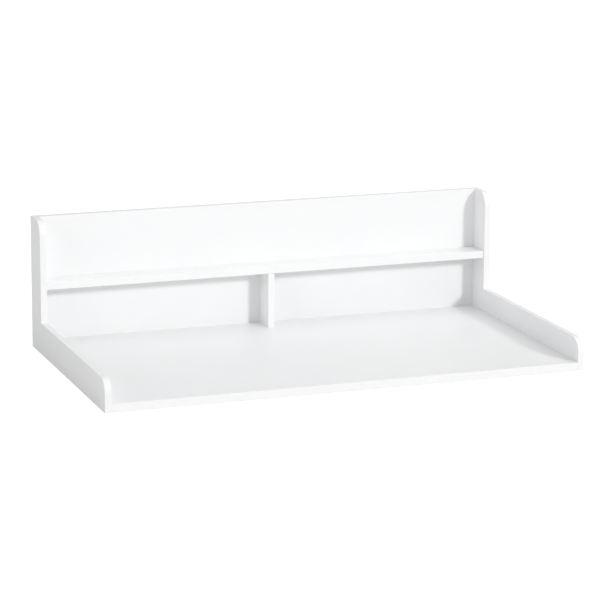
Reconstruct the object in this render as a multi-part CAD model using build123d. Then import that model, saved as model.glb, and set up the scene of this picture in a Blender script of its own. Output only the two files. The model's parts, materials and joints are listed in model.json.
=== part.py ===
from build123d import *
import os

# Desk hutch: a flat-pack tray that stands on a desk top, with raised sides, a back panel,
# one narrow shelf and a divider under it.
# Frame: +X to the right, +Y to the back, +Z up, millimetres.
# Origin: middle of the footprint, on the underside. The open front faces -Y.

# ---- overall size ----
overall_width = 1100.0
overall_depth = 600.0
overall_height = 304.0

# ---- boards ----
side_thickness = 15.0
base_thickness = 19.0
back_thickness = 20.0
shelf_thickness = 17.0
divider_thickness = 15.0
edge_round = 0.8            # softened edges on the faces that a hand can reach

# ---- L-shaped side panels ----
lip_height = 72.0           # low part that runs to the front
upright_depth = 82.0        # tall part at the back, front to back
corner_radius = 33.0        # round nose on the upright and on the lip

# ---- places of the inner boards ----
back_inset = 1.0            # rear face of the back panel, in from the rear edge of the sides
shelf_underside = 147.0
shelf_depth = 58.0          # from the back panel's front face; the divider is as deep

# ---- 15 mm cam fittings ----
cam_radius = 7.4
cam_hole_radius = 7.5
cam_from_edge = 34.0        # middle of the cam, in from the end of its board
cam_clear = 0.2             # the cam sits this far under the board's face
cam_below_bolt = 4.5        # depth of the cam hole past the bolt's axis
bolt_thread_length = 10.5
bolt_thread_hole = 11.0
bolt_thread_radius = 2.95
bolt_bore_radius = 4.0
cam_slot_width = 7.0
cam_cap_radius = 8.5
cap_thickness = 0.9

# ---- 8 x 30 mm wooden dowels ----
dowel_radius = 3.95
dowel_hole_radius = 4.0
dowel_length = 30.0
dowel_short_end = 11.0      # length in the board that is drilled through its face
dowel_play = 0.5            # room at each end of a dowel's hole

# ---- 5 x 50 mm countersunk screws ----
screw_length = 50.0
screw_radius = 2.5
screw_core_radius = 1.7
screw_head_radius = 4.8
screw_head_depth = 3.2
screw_sunk = 0.3            # the head sits this far under the board's face
screw_hole_radius = 2.6
screw_hole_play = 2.0       # room past the point
screw_cap_radius = 6.5

# ---- worked out from the sizes above ----
inner = overall_width / 2 - side_thickness
front = -overall_depth / 2
rear = overall_depth / 2
back_rear = rear - back_inset
back_front = back_rear - back_thickness
back_middle = (back_front + back_rear) / 2
upright_front = rear - upright_depth
shelf_front = back_front - shelf_depth
shelf_top = shelf_underside + shelf_thickness
shelf_middle_z = shelf_underside + shelf_thickness / 2
base_middle_z = base_thickness / 2

# ---- places of the fittings ----
base_cam_y = (-230.0, 0.0, 230.0)
base_dowel_y = (-262.0, -115.0, 115.0, 262.0)
back_cam_z = (62.0, 262.0)
back_dowel_z = (105.0, 215.0)
shelf_cam_y = 238.0
shelf_dowel_y = 262.0
back_screw_x = (-460.0, -230.0, 230.0, 460.0)
back_foot_dowel_x = (-345.0, -115.0, 115.0, 345.0)
shelf_screw_x = (-400.0, -135.0, 135.0, 400.0)
divider_y = (shelf_front + 15.0, back_front - 15.0)

RIGHT, BACK, UP = (1, 0, 0), (0, 1, 0), (0, 0, 1)
LEFT, FRONT, DOWN = (-1, 0, 0), (0, -1, 0), (0, 0, -1)
SIDES = {"left": -1, "right": 1}


# ---- small helpers ----
def board(x_range, y_range, z_range):
    """A plain board between three pairs of limits."""
    sizes = [high - low for low, high in (x_range, y_range, z_range)]
    middle = [(low + high) / 2 for low, high in (x_range, y_range, z_range)]
    return Pos(*middle) * Box(*sizes)


def rod(start, direction, radius, length):
    """A round bar or hole that starts at a point and runs along a direction."""
    bar = Cylinder(radius, length, align=(Align.CENTER, Align.CENTER, Align.MIN))
    return Plane(origin=start, z_dir=direction) * bar


def turned(outline):
    """A solid of revolution about Z, from (radius, height) points."""
    points = [(radius, 0, height) for radius, height in outline]
    return revolve(make_face(Polyline(*points, close=True)), Axis.Z)


def placed(solid, start, direction, towards=None):
    """A fitting made at the origin along +Z, moved to its place in a board."""
    return Plane(origin=start, x_dir=towards, z_dir=direction) * solid


def ridges(core, crest, low, high, pitch):
    """Outline points of the thread between two heights, drawn as rings."""
    points = []
    for turn in range(int((high - low) / pitch)):
        foot = low + turn * pitch
        points += [(core, foot), (crest, foot + 0.4 * pitch)]
        points += [(crest, foot + 0.5 * pitch), (core, foot + 0.9 * pitch)]
    return points


def soften(solid, edges):
    """Rounds the given edges by the small hand radius."""
    return fillet(edges, edge_round)


# ---- fittings, each made once at the origin ----
def make_cam_bolt():
    """Steel cam bolt: threaded end below the origin, collar, shank, neck and head above it."""
    outline = [(0, -bolt_thread_length), (1.6, -bolt_thread_length)]
    outline += ridges(2.3, bolt_thread_radius, 1.0 - bolt_thread_length, -0.5, 2.0)
    outline += [(2.3, 0), (3.9, 0), (3.9, 3), (2.5, 4), (2.5, 27), (1.7, 28), (1.7, 31)]
    outline += [(3.2, 32), (3.2, 34.5), (2.2, 36), (0, 36)]
    return turned(outline)


def make_cam(bolt_depth):
    """Die-cast cam: a drum with a side slot for the bolt's head, and a cross for the driver."""
    height = bolt_depth + cam_below_bolt - cam_clear - 0.4
    drum = rod((0, 0, cam_clear), UP, cam_radius, height)
    slot = Pos(2.5, 0, bolt_depth) * Box(15, cam_slot_width, cam_slot_width)
    cross = Pos(0, 0, cam_clear) * (Box(8, 1.5, 4) + Box(1.5, 8, 4))
    rim = Pos(0, 0, cam_clear) * (Cylinder(6.4, 0.6) - Cylinder(5.2, 0.6))
    return drum - slot - cross - rim


def make_dowel():
    """Beech dowel with shallow flutes and bevelled ends, from z = 0 up."""
    flutes = PolarLocations(dowel_radius, 12) * Circle(0.3)
    stick = extrude(Circle(dowel_radius) - flutes, dowel_length)
    bevel = 1.0
    limits = turned([
        (0, 0), (dowel_radius - bevel, 0), (dowel_radius, bevel),
        (dowel_radius, dowel_length - bevel), (dowel_radius - bevel, dowel_length), (0, dowel_length),
    ])
    return stick & limits


def make_screw():
    """Countersunk chipboard screw: head at the origin, point up."""
    tip = screw_length - 4
    thread_start = 22.0
    outline = [(0, screw_sunk), (screw_head_radius, screw_sunk), (screw_head_radius, screw_sunk + 0.4)]
    outline += [(2.1, screw_sunk + screw_head_depth), (2.1, thread_start)]
    outline += ridges(screw_core_radius, screw_radius, thread_start + 0.5, tip, 2.4)
    outline += [(screw_core_radius, tip), (0, screw_length)]
    cross = Pos(0, 0, screw_sunk) * (Box(5, 1.1, 4) + Box(1.1, 5, 4))
    return turned(outline) - cross


def make_cap(radius):
    """Thin plastic cover with a peg, lying on a board's face, peg up."""
    top = 0.3
    outline = [(0, -cap_thickness), (radius - top, -cap_thickness), (radius, top - cap_thickness), (radius, 0)]
    outline += [(0.7, 0), (0.7, 1.5), (0, 1.5)]
    return turned(outline)


# ---- holes for the fittings ----
def cam_joint_holes(joint):
    """Cam hole and bolt bore in the board that holds the cam."""
    cam = rod(joint["cam"], joint["into"], cam_hole_radius, joint["depth"] + cam_below_bolt)
    bore = rod(joint["seat"], joint["towards_cam"], bolt_bore_radius, cam_from_edge)
    return cam + bore


def side_bolt_hole(joint):
    """Hole in a side panel's inner face for the bolt's thread."""
    outwards = tuple(-part for part in joint["towards_cam"])
    return rod(joint["seat"], outwards, bolt_thread_radius + 0.05, bolt_thread_hole)


def screw_hole(point, direction, first_board):
    """Clearance hole with its countersink in the first board, and the pilot in the next one."""
    sink = turned([
        (0, 0), (screw_head_radius + 0.1, 0), (screw_head_radius + 0.1, screw_sunk + 0.5),
        (screw_hole_radius, screw_sunk + screw_head_depth), (0, screw_sunk + screw_head_depth),
    ])
    clear = rod(point, direction, screw_hole_radius, first_board)
    pilot = rod(point, direction, screw_radius + 0.05, screw_length + screw_hole_play)
    return placed(sink, point, direction) + clear, pilot


def dowel_hole(point, direction):
    """Hole for a dowel: point is on the joint, direction goes into the board with the short end."""
    back = tuple(-part for part in direction)
    short = rod(point, direction, dowel_hole_radius, dowel_short_end + dowel_play)
    long = rod(point, back, dowel_hole_radius, dowel_length - dowel_short_end + dowel_play)
    return short + long


def dowel_at(point, direction):
    """A dowel across a joint, its short end along the direction."""
    start = tuple(at - part * (dowel_length - dowel_short_end) for at, part in zip(point, direction))
    return placed(make_dowel(), start, direction)


# ---- where each joint is ----
def cam_joint(sign, board_face, into, depth, across):
    """One cam joint at the end of a board. across gives the bolt's y and z."""
    seat = (sign * inner, across[0], across[1])
    towards_cam = (-sign, 0, 0)
    middle = sign * (inner - cam_from_edge)
    cam = (middle, across[0], board_face) if into in (UP, DOWN) else (middle, board_face, across[1])
    return {"seat": seat, "towards_cam": towards_cam, "cam": cam, "into": into, "depth": depth}


def base_cam_joints(sign):
    return [cam_joint(sign, 0.0, UP, base_middle_z, (y, base_middle_z)) for y in base_cam_y]


def back_cam_joints(sign):
    return [cam_joint(sign, back_rear, FRONT, back_thickness / 2, (back_middle, z)) for z in back_cam_z]


def shelf_cam_joints(sign):
    return [cam_joint(sign, shelf_underside, UP, shelf_thickness / 2, (shelf_cam_y, shelf_middle_z))]


def side_dowel_points(sign):
    """Dowels between one side panel and the boards that end on it, by board."""
    x = sign * inner
    return {
        "base": [(x, y, base_middle_z) for y in base_dowel_y],
        "back": [(x, back_middle, z) for z in back_dowel_z],
        "shelf": [(x, shelf_dowel_y, shelf_middle_z)],
    }


back_screw_points = [(x, back_middle, 0.0) for x in back_screw_x]
back_foot_points = [(x, back_middle, base_thickness) for x in back_foot_dowel_x]
shelf_screw_points = [(x, back_rear, shelf_middle_z) for x in shelf_screw_x]
divider_screw_points = [(0.0, y, 0.0) for y in divider_y]
divider_dowel_points = [(0.0, y, shelf_underside) for y in divider_y]


# ---- boards ----
def make_side_panel(sign):
    """L-shaped side: a tall upright at the back and a low lip to the front, each with a round nose."""
    r = corner_radius
    with BuildPart() as panel:
        with BuildSketch(Plane.YZ.offset(sign * inner)):
            with BuildLine():
                Line((front, 0), (rear, 0))
                Line((rear, 0), (rear, overall_height))
                Line((rear, overall_height), (upright_front + r, overall_height))
                RadiusArc((upright_front + r, overall_height), (upright_front, overall_height - r), -r)
                Line((upright_front, overall_height - r), (upright_front, lip_height))
                Line((upright_front, lip_height), (front + r, lip_height))
                RadiusArc((front + r, lip_height), (front, lip_height - r), -r)
                Line((front, lip_height - r), (front, 0))
            make_face()
        extrude(amount=sign * side_thickness)
    solid = panel.part
    rims = solid.faces().sort_by(Axis.X)
    solid = soften(solid, rims[0].edges() + rims[-1].edges())
    for joint in base_cam_joints(sign) + back_cam_joints(sign) + shelf_cam_joints(sign):
        solid -= side_bolt_hole(joint)
    for points in side_dowel_points(sign).values():
        for point in points:
            solid -= dowel_hole(point, (sign, 0, 0))
    return solid


def make_base_board():
    """Flat tray between the sides, its front edge flush with them."""
    solid = board((-inner, inner), (front, back_rear), (0, base_thickness))
    solid = soften(solid, solid.edges().filter_by(Axis.X).group_by(Axis.Y)[0])
    for sign in SIDES.values():
        for joint in base_cam_joints(sign):
            solid -= cam_joint_holes(joint)
        for point in side_dowel_points(sign)["base"]:
            solid -= dowel_hole(point, (sign, 0, 0))
    for point in back_screw_points + divider_screw_points:
        solid -= screw_hole(point, UP, base_thickness)[0]
    for point in back_foot_points:
        solid -= dowel_hole(point, DOWN)
    return solid


def make_back_panel():
    """Back board, standing on the base between the uprights."""
    solid = board((-inner, inner), (back_front, back_rear), (base_thickness, overall_height))
    solid = soften(solid, solid.edges().filter_by(Axis.X).group_by(Axis.Z)[-1])
    for sign in SIDES.values():
        for joint in back_cam_joints(sign):
            solid -= cam_joint_holes(joint)
        for point in side_dowel_points(sign)["back"]:
            solid -= dowel_hole(point, (sign, 0, 0))
    for point in back_screw_points:
        solid -= screw_hole(point, UP, base_thickness)[1]
    for point in back_foot_points:
        solid -= dowel_hole(point, DOWN)
    for point in shelf_screw_points:
        solid -= screw_hole(point, FRONT, back_thickness)[0]
    return solid


def make_shelf():
    """Narrow full-width shelf in front of the back panel."""
    solid = board((-inner, inner), (shelf_front, back_front), (shelf_underside, shelf_top))
    solid = soften(solid, solid.edges().filter_by(Axis.X).group_by(Axis.Y)[0])
    for sign in SIDES.values():
        for joint in shelf_cam_joints(sign):
            solid -= cam_joint_holes(joint)
        for point in side_dowel_points(sign)["shelf"]:
            solid -= dowel_hole(point, (sign, 0, 0))
    for point in shelf_screw_points:
        solid -= screw_hole(point, FRONT, back_thickness)[1]
    for point in divider_dowel_points:
        solid -= dowel_hole(point, UP)
    return solid


def make_divider():
    """Upright board in the middle, from the base to the shelf."""
    half = divider_thickness / 2
    solid = board((-half, half), (shelf_front, back_front), (base_thickness, shelf_underside))
    solid = soften(solid, solid.edges().filter_by(Axis.Z).group_by(Axis.Y)[0])
    for point in divider_screw_points:
        solid -= screw_hole(point, UP, base_thickness)[1]
    for point in divider_dowel_points:
        solid -= dowel_hole(point, UP)
    return solid


# ---- groups of fittings ----
def cam_bolts(joints):
    return [placed(make_cam_bolt(), joint["seat"], joint["towards_cam"]) for joint in joints]


def cams(joints):
    """Cams for a list of joints, each slot turned towards its bolt."""
    made = []
    for joint in joints:
        outwards = tuple(-part for part in joint["towards_cam"])
        made.append(placed(make_cam(joint["depth"]), joint["cam"], joint["into"], outwards))
    return made


def dowels(points, direction):
    return [dowel_at(point, direction) for point in points]


def screws(points, direction):
    return [placed(make_screw(), point, direction) for point in points]


def caps(points, direction, radius):
    return [placed(make_cap(radius), point, direction) for point in points]


# ---- the nodes ----
nodes = {
    "base_board": [make_base_board()],
    "back_panel": [make_back_panel()],
    "shelf": [make_shelf()],
    "centre_divider": [make_divider()],
}
for side, sign in SIDES.items():
    outwards = (sign, 0, 0)
    points = side_dowel_points(sign)
    nodes[f"{side}_side_panel"] = [make_side_panel(sign)]
    nodes[f"{side}_base_cam_bolts"] = cam_bolts(base_cam_joints(sign))
    nodes[f"{side}_base_cams"] = cams(base_cam_joints(sign))
    nodes[f"{side}_base_dowels"] = dowels(points["base"], outwards)
    nodes[f"{side}_back_cam_bolts"] = cam_bolts(back_cam_joints(sign))
    nodes[f"{side}_back_cams"] = cams(back_cam_joints(sign))
    nodes[f"{side}_back_cam_caps"] = caps([j["cam"] for j in back_cam_joints(sign)], FRONT, cam_cap_radius)
    nodes[f"{side}_back_dowels"] = dowels(points["back"], outwards)
    nodes[f"{side}_shelf_cam_bolt"] = cam_bolts(shelf_cam_joints(sign))
    nodes[f"{side}_shelf_cam"] = cams(shelf_cam_joints(sign))
    nodes[f"{side}_shelf_cam_cap"] = caps([j["cam"] for j in shelf_cam_joints(sign)], UP, cam_cap_radius)
    nodes[f"{side}_shelf_dowel"] = dowels(points["shelf"], outwards)
nodes["back_foot_screws"] = screws(back_screw_points, UP)
nodes["back_foot_dowels"] = dowels(back_foot_points, DOWN)
nodes["shelf_rear_screws"] = screws(shelf_screw_points, FRONT)
nodes["shelf_rear_screw_caps"] = caps(shelf_screw_points, FRONT, screw_cap_radius)
nodes["divider_foot_screws"] = screws(divider_screw_points, UP)
nodes["divider_top_dowels"] = dowels(divider_dowel_points, UP)

os.makedirs("parts", exist_ok=True)
for name, solids in nodes.items():
    export_step(Compound(children=[Solid(shape.solid().wrapped) for shape in solids]), f"parts/{name}.step")
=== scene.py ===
import json
import math

import bpy
from mathutils import Matrix, Vector


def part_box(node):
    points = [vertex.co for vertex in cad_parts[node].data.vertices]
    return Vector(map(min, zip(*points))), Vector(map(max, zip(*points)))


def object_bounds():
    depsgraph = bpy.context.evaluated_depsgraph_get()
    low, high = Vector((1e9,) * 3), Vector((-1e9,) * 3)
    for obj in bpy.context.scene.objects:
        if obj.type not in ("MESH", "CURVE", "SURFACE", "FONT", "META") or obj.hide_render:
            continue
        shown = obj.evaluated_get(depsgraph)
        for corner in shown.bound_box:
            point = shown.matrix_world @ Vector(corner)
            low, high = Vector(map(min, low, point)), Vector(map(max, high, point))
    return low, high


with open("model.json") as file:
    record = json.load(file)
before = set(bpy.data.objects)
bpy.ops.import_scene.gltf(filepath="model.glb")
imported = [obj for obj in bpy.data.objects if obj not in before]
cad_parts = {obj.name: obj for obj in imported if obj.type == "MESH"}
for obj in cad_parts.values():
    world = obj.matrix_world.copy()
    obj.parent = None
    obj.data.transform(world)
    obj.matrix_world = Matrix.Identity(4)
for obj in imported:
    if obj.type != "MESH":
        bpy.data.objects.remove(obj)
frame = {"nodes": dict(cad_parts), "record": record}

cad_low, cad_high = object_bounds()
centre = (cad_low + cad_high) / 2
MM = 0.001
X_AXIS, Y_AXIS, Z_AXIS = (1, 0, 0), (0, 1, 0), (0, 0, 1)
SMOOTH_UNDER = math.radians(25)     # facets that meet at less than this are one round face

# ---- light levels ----
SKY_COLOUR = (0.985, 0.99, 1.0, 1)
SKY_STRENGTH = 0.51
FLOOR_COLOUR = (0.84, 0.84, 0.84, 1)
FLOOR_GLOW = 0.6                    # added to the lit floor where the camera sees it
BACKDROP_COLOUR = (1, 1, 1, 1)
BACKDROP_STRENGTH = 1.1             # the surroundings as the camera sees them

# ---- colours, linear ----
PAINT_DARK, PAINT_LIGHT = (0.903, 0.905, 0.908, 1), (0.917, 0.918, 0.920, 1)
PAINT_SPECK = (0.80, 0.80, 0.80, 1)
PAINT_ON_EDGE = (0.915, 0.913, 0.910, 1)
PAINT_RUBBED = (0.80, 0.79, 0.77, 1)
CORE_DARK, CORE_LIGHT = (0.30, 0.19, 0.10, 1), (0.52, 0.37, 0.22, 1)
ZINC_BLUISH, ZINC_YELLOWISH = (0.60, 0.62, 0.66, 1), (0.68, 0.66, 0.60, 1)
CAST_CLEAN, CAST_STAINED = (0.50, 0.50, 0.51, 1), (0.38, 0.38, 0.39, 1)
BEECH_DARK, BEECH_LIGHT = (0.62, 0.42, 0.25, 1), (0.76, 0.58, 0.39, 1)
BEECH_FLECK = (0.40, 0.24, 0.12, 1)
PLASTIC_DARK, PLASTIC_LIGHT = (0.84, 0.84, 0.83, 1), (0.88, 0.88, 0.87, 1)


# ---- node helpers ----
class Graph:
    """A material's node tree with short calls for the nodes used here."""

    def __init__(self, name):
        self.material = bpy.data.materials.new(name)
        self.material.use_nodes = True
        self.nodes = self.material.node_tree.nodes
        self.links = self.material.node_tree.links
        self.shader = self.nodes["Principled BSDF"]
        self.place = self.node("ShaderNodeTexCoord").outputs["Object"]
        self.normal = self.node("ShaderNodeNewGeometry").outputs["Normal"]

    def node(self, kind, **settings):
        made = self.nodes.new(kind)
        for name, value in settings.items():
            setattr(made, name, value)
        return made

    def put(self, socket, value):
        """Links an output to a socket, or sets a plain value on it."""
        if isinstance(value, bpy.types.NodeSocket):
            self.links.new(value, socket)
        else:
            socket.default_value = value

    def math(self, operation, *values):
        made = self.node("ShaderNodeMath", operation=operation)
        for socket, value in zip(made.inputs, values):
            self.put(socket, value)
        return made.outputs[0]

    def vector(self, operation, *values):
        made = self.node("ShaderNodeVectorMath", operation=operation)
        for socket, value in zip(made.inputs, values):
            self.put(socket, value)
        return made.outputs["Value" if operation == "DOT_PRODUCT" else "Vector"]

    def noise(self, per_metre, detail, stretch=(1, 1, 1)):
        """Noise with so many bumps per metre; a stretch below 1 draws it out along that axis."""
        made = self.node("ShaderNodeTexNoise")
        self.put(made.inputs["Vector"], self.vector("MULTIPLY", self.place, stretch))
        made.inputs["Scale"].default_value = per_metre
        made.inputs["Detail"].default_value = detail
        return made.outputs["Fac"]

    def between(self, factor, low, high, start=0.0, end=1.0):
        """Maps a factor that runs from start to end onto low to high, and stops there."""
        made = self.node("ShaderNodeMapRange")
        for name, value in (("From Min", start), ("From Max", end), ("To Min", low), ("To Max", high)):
            made.inputs[name].default_value = value
        self.put(made.inputs["Value"], factor)
        return made.outputs["Result"]

    def rise(self, factor, start, end, top=1.0):
        """0 up to start, top from end on, and a straight ramp between them."""
        return self.between(factor, 0.0, top, start, end)

    def mix(self, factor, first, second):
        made = self.node("ShaderNodeMix", data_type="RGBA")
        self.put(made.inputs["Factor"], factor)
        colours = [socket for socket in made.inputs if socket.type == "RGBA"]
        self.put(colours[0], first)
        self.put(colours[1], second)
        return next(socket for socket in made.outputs if socket.type == "RGBA")

    def bump(self, height, depth, strength, under=None):
        made = self.node("ShaderNodeBump")
        made.inputs["Distance"].default_value = depth
        made.inputs["Strength"].default_value = strength
        self.put(made.inputs["Height"], height)
        if under is not None:
            self.put(made.inputs["Normal"], under)
        return made.outputs["Normal"]

    def finish(self, colour, roughness, normal, **plain):
        self.put(self.shader.inputs["Base Color"], colour)
        self.put(self.shader.inputs["Roughness"], roughness)
        self.put(self.shader.inputs["Normal"], normal)
        for name, value in plain.items():
            self.shader.inputs[name].default_value = value
        return self.material


# ---- materials ----
def drilled_parts(g, node):
    """1 inside the drilled holes of a plain board and 0 on its outer faces, told by the depth
    below the board's own box."""
    low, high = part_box(node)
    middle, half = (low + high) / 2, (high - low) / 2
    parts = g.node("ShaderNodeSeparateXYZ")
    g.put(parts.inputs[0], g.vector("SUBTRACT", g.place, tuple(middle)))
    inside = None
    for output, reach in zip(parts.outputs, half):
        depth = g.math("SUBTRACT", reach, g.math("ABSOLUTE", output))
        inside = depth if inside is None else g.math("MINIMUM", inside, depth)
    return g.rise(inside, start=0.9 * MM, end=1.2 * MM)


def painted_board(node, thin_axis, is_plain_box):
    """White satin lacquer on fibreboard: orange peel on the faces, a drier, pebbled coat on the cut
    edges, faintly rubbed corners, and, on plain boxes only, bare brown board inside the drilled holes."""
    edge_tint, edge_dryness = 0.4, 0.10
    rub_tint, rub_dryness = 0.35, 0.08
    bare_roughness = 0.92
    corner_reach = 1.6 * MM

    g = Graph("painted_" + node)
    cloud = g.noise(per_metre=7.0, detail=3.0)
    speck = g.noise(per_metre=1400.0, detail=1.0)
    peel = g.noise(per_metre=420.0, detail=2.0)
    pebble = g.noise(per_metre=1900.0, detail=3.0)
    facing = g.math("ABSOLUTE", g.vector("DOT_PRODUCT", g.normal, thin_axis))
    on_edge = g.between(facing, low=1.0, high=0.0, start=0.35, end=0.75)

    colour = g.mix(g.rise(cloud, start=0.3, end=0.7), PAINT_DARK, PAINT_LIGHT)
    colour = g.mix(g.rise(speck, start=0.62, end=0.75, top=0.35), colour, PAINT_SPECK)
    colour = g.mix(g.math("MULTIPLY", on_edge, edge_tint), colour, PAINT_ON_EDGE)

    bevel = g.node("ShaderNodeBevel", samples=4)
    bevel.inputs["Radius"].default_value = corner_reach
    straight = g.vector("DOT_PRODUCT", bevel.outputs["Normal"], g.normal)
    corner = g.between(straight, low=1.0, high=0.0, start=0.86, end=0.985)
    patches = g.rise(g.noise(per_metre=55.0, detail=4.0), start=0.48, end=0.66)
    rubbed = g.math("MULTIPLY", corner, patches)
    colour = g.mix(g.math("MULTIPLY", rubbed, rub_tint), colour, PAINT_RUBBED)

    satin = g.noise(per_metre=18.0, detail=4.0)
    roughness = g.between(satin, low=0.36, high=0.46, start=0.3, end=0.7)
    roughness = g.math("ADD", roughness, g.math("MULTIPLY", on_edge, edge_dryness))
    roughness = g.math("ADD", roughness, g.math("MULTIPLY", rubbed, rub_dryness))

    if is_plain_box:
        drilled = drilled_parts(g, node)
        core = g.mix(g.noise(per_metre=700.0, detail=5.0), CORE_DARK, CORE_LIGHT)
        colour = g.mix(drilled, colour, core)
        roughness = g.math("MAXIMUM", roughness, g.math("MULTIPLY", drilled, bare_roughness))

    pebbled = g.math("MULTIPLY", pebble, g.between(on_edge, low=0.25, high=1.0))
    normal = g.bump(peel, depth=0.05 * MM, strength=0.35)
    normal = g.bump(pebbled, depth=0.03 * MM, strength=0.4, under=normal)
    return g.finish(colour, roughness, normal, IOR=1.48)


def zinc_steel():
    """Bright zinc plating on turned steel, with fine marks and a slight blue-yellow drift."""
    g = Graph("zinc_steel")
    drift = g.noise(per_metre=160.0, detail=2.0)
    marks = g.noise(per_metre=2600.0, detail=2.0)
    colour = g.mix(g.rise(drift, start=0.35, end=0.65), ZINC_BLUISH, ZINC_YELLOWISH)
    roughness = g.between(marks, low=0.24, high=0.42, start=0.3, end=0.7)
    return g.finish(colour, roughness, g.bump(marks, depth=0.02 * MM, strength=0.5), Metallic=1.0)


def zinc_die_cast():
    """Dull grey die-cast zinc with a grainy skin and darker stains."""
    g = Graph("zinc_die_cast")
    grain = g.noise(per_metre=1500.0, detail=4.0)
    stain = g.noise(per_metre=220.0, detail=3.0)
    colour = g.mix(g.rise(stain, start=0.35, end=0.7), CAST_CLEAN, CAST_STAINED)
    roughness = g.between(grain, low=0.42, high=0.62, start=0.3, end=0.7)
    return g.finish(colour, roughness, g.bump(grain, depth=0.06 * MM, strength=0.6), Metallic=1.0)


def beech(run_axis):
    """Raw beech with its grain and short dark flecks along the dowel, which runs along x or z."""
    g = Graph("beech_along_" + run_axis)
    drawn_out = 0.08
    along = tuple(drawn_out if axis == run_axis else 1.0 for axis in "xyz")
    grain = g.noise(per_metre=900.0, detail=4.0, stretch=along)
    fleck = g.noise(per_metre=2200.0, detail=1.0, stretch=along)
    colour = g.mix(g.rise(grain, start=0.3, end=0.7), BEECH_DARK, BEECH_LIGHT)
    colour = g.mix(g.rise(fleck, start=0.62, end=0.72, top=0.8), colour, BEECH_FLECK)
    roughness = g.between(grain, low=0.62, high=0.78, start=0.3, end=0.7)
    return g.finish(colour, roughness, g.bump(grain, depth=0.08 * MM, strength=0.6))


def white_plastic():
    """Moulded white cover caps with a fine sandblasted skin."""
    g = Graph("white_plastic")
    skin = g.noise(per_metre=2400.0, detail=3.0)
    tint = g.noise(per_metre=90.0, detail=2.0)
    colour = g.mix(tint, PLASTIC_DARK, PLASTIC_LIGHT)
    roughness = g.between(skin, low=0.44, high=0.58, start=0.3, end=0.7)
    return g.finish(colour, roughness, g.bump(skin, depth=0.03 * MM, strength=0.5))


def dress(node, material):
    """Gives a CAD node one material and shades its round faces smooth."""
    mesh = frame["nodes"][node].data
    mesh.materials.clear()
    mesh.materials.append(material)
    mesh.polygons.foreach_set("material_index", [0] * len(mesh.polygons))
    mesh.shade_smooth()
    mesh.set_sharp_from_angle(angle=SMOOTH_UNDER)


# Each board's thin direction, and whether it is a plain box. The L-shaped sides aren't, so the
# depth below their boxes doesn't tell a drilled hole from an outer face.
BOARDS = {
    "base_board": (Z_AXIS, True),
    "back_panel": (Y_AXIS, True),
    "shelf": (Z_AXIS, True),
    "centre_divider": (X_AXIS, True),
    "left_side_panel": (X_AXIS, False),
    "right_side_panel": (X_AXIS, False),
}
for node, (thin_axis, is_plain_box) in BOARDS.items():
    dress(node, painted_board(node, thin_axis, is_plain_box))

STANDING_DOWELS = ("back_foot_dowels", "divider_top_dowels")
shared = {"zinc_steel": zinc_steel(), "zinc_die_cast": zinc_die_cast(), "white_plastic": white_plastic()}
level_beech, standing_beech = beech("x"), beech("z")
for part in frame["record"]["subparts"]:
    node, slot = part["node"], part["material_slot"]
    if slot == "beech":
        dress(node, standing_beech if node in STANDING_DOWELS else level_beech)
    elif slot in shared:
        dress(node, shared[slot])


# ---- stage ----
def show_and_light(tree, lighting, seen, output):
    """Shows the camera one shader, and lights and reflects with the other."""
    path = tree.nodes.new("ShaderNodeLightPath")
    mix = tree.nodes.new("ShaderNodeMixShader")
    tree.links.new(path.outputs["Is Camera Ray"], mix.inputs[0])
    tree.links.new(lighting.outputs[0], mix.inputs[1])
    tree.links.new(seen.outputs[0], mix.inputs[2])
    tree.links.new(mix.outputs[0], tree.nodes[output].inputs["Surface"])


def make_floor():
    """A pale floor that looks pure white and still bounces a natural share of light."""
    half = 12.0
    drop = 0.3 * MM                 # how far the floor lies below the object
    mesh = bpy.data.meshes.new("floor")
    corners = [(-half, -half), (half, -half), (half, half), (-half, half)]
    mesh.from_pydata([(x, y, cad_low.z - drop) for x, y in corners], [], [(0, 1, 2, 3)])
    floor = bpy.data.objects.new("floor", mesh)
    bpy.context.scene.collection.objects.link(floor)

    material = bpy.data.materials.new("pale_floor")
    material.use_nodes = True
    tree = material.node_tree
    shader = tree.nodes["Principled BSDF"]
    shader.inputs["Base Color"].default_value = FLOOR_COLOUR
    shader.inputs["Roughness"].default_value = 1.0
    shader.inputs["Specular IOR Level"].default_value = 0.0
    glow = tree.nodes.new("ShaderNodeEmission")
    glow.inputs["Strength"].default_value = FLOOR_GLOW
    lit_and_glowing = tree.nodes.new("ShaderNodeAddShader")
    tree.links.new(shader.outputs[0], lit_and_glowing.inputs[0])
    tree.links.new(glow.outputs[0], lit_and_glowing.inputs[1])
    show_and_light(tree, shader, lit_and_glowing, "Material Output")
    mesh.materials.append(material)


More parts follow.
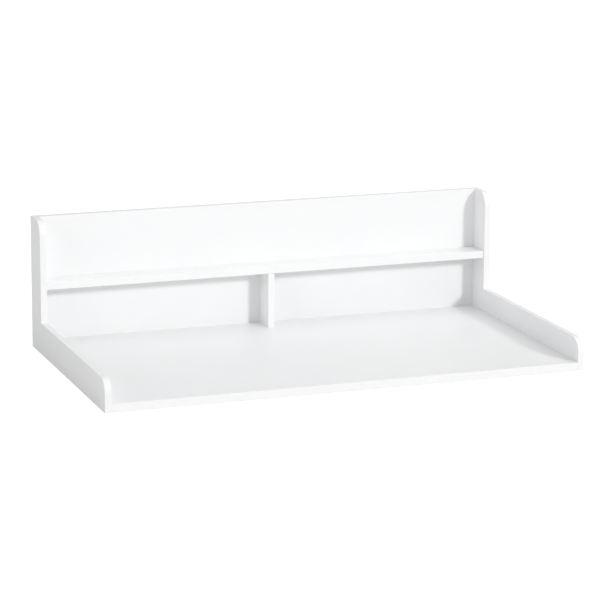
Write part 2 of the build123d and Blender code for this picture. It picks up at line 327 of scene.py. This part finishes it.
def make_world():
    """Even white studio surroundings: softer as a light than they look behind the object."""
    world = bpy.data.worlds.new("studio")
    world.use_nodes = True
    tree = world.node_tree
    light = tree.nodes["Background"]
    light.inputs["Color"].default_value = SKY_COLOUR
    light.inputs["Strength"].default_value = SKY_STRENGTH
    backdrop = tree.nodes.new("ShaderNodeBackground")
    backdrop.inputs["Color"].default_value = BACKDROP_COLOUR
    backdrop.inputs["Strength"].default_value = BACKDROP_STRENGTH
    show_and_light(tree, light, backdrop, "World Output")
    bpy.context.scene.world = world


def away_from_object(azimuth, elevation):
    """Unit vector from the object: azimuth to the right of the open front, elevation above it."""
    level = math.cos(elevation)
    return Vector((math.sin(azimuth) * level, -math.cos(azimuth) * level, math.sin(elevation)))


def make_softbox(name, azimuth, elevation, distance, diameter, power):
    """A round soft light aimed at the object, in degrees, metres and watts."""
    away = away_from_object(math.radians(azimuth), math.radians(elevation))
    light = bpy.data.lights.new(name, "AREA")
    light.shape = "DISK"
    light.size = diameter
    light.energy = power
    lamp = bpy.data.objects.new(name, light)
    lamp.location = centre + away * distance
    lamp.rotation_mode = "QUATERNION"
    lamp.rotation_quaternion = (-away).to_track_quat("-Z", "Y")
    bpy.context.scene.collection.objects.link(lamp)


make_floor()
make_world()
make_softbox("key_light", azimuth=27, elevation=22.5, distance=30, diameter=4.5, power=3480)
make_softbox("high_right_light", azimuth=90, elevation=60, distance=4, diameter=4, power=52)
make_softbox("left_fill_light", azimuth=-70, elevation=12, distance=6, diameter=4, power=60)

view = bpy.context.scene.view_settings
view.view_transform = "Standard"
view.look = "None"


# ---- camera ----
def make_camera():
    """Looks from the front left and a little above, with a long lens."""
    azimuth, elevation, roll = math.radians(-20.16), math.radians(13.316), math.radians(0.393)
    distance = 5.927
    aim_right, aim_up = -0.0099, -0.0177    # where it aims, from the middle of the object
    back = away_from_object(azimuth, elevation)
    right = Vector((math.cos(azimuth), math.sin(azimuth), 0))
    up = back.cross(right)
    data = bpy.data.cameras.new("camera")
    data.lens = 159.1
    data.sensor_width = 36.0
    data.clip_end = 100.0
    camera = bpy.data.objects.new("camera", data)
    turn = Matrix((right, up, back)).transposed()
    place = centre + right * aim_right + up * aim_up + back * distance
    camera.matrix_world = Matrix.Translation(place) @ turn.to_4x4() @ Matrix.Rotation(roll, 4, "Z")
    bpy.context.scene.collection.objects.link(camera)
    bpy.context.scene.camera = camera


make_camera()
